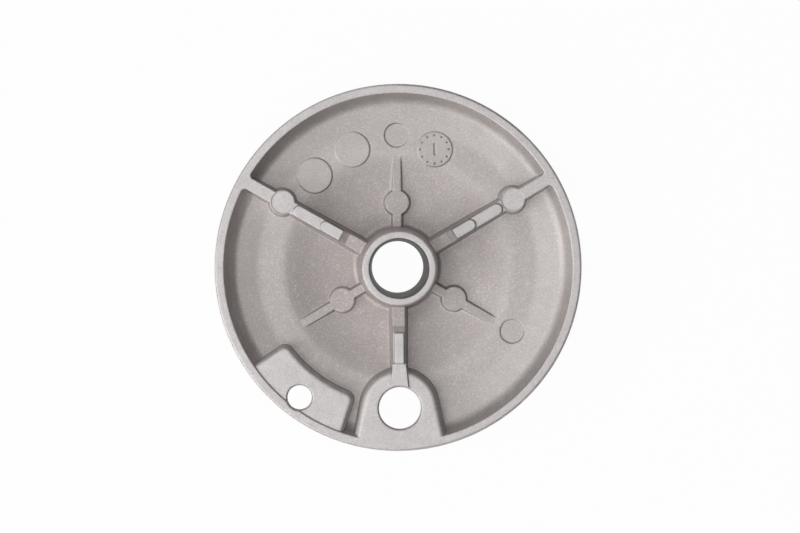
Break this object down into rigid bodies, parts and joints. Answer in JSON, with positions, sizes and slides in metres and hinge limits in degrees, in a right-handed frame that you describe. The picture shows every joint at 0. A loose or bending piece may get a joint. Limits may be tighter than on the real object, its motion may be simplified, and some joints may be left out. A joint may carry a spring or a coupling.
{
  "type": "burner flame spreader",
  "caption": "Round die-cast aluminium gas burner flame spreader with a ribbed hollow underside, tapered hub bore, electrode and thermocouple pads with holes, and a slotted flame port crown.",
  "frame": {"origin": "on the hub's bore axis, in the plane of the crown that it lies on", "axes": "+Z along the bore axis, out of the hub and the hollow underside; -Y from the axis towards the electrode hole; +X completes a right-handed set"},
  "size_m": [0.095, 0.095, 0.022],
  "materials": {
    "cast_aluminium": "as-cast, shot-blasted, matt"
  },
  "bodies": {
    "root": {"flame_spreader": "cast_aluminium"}
  },
  "joints": []
}
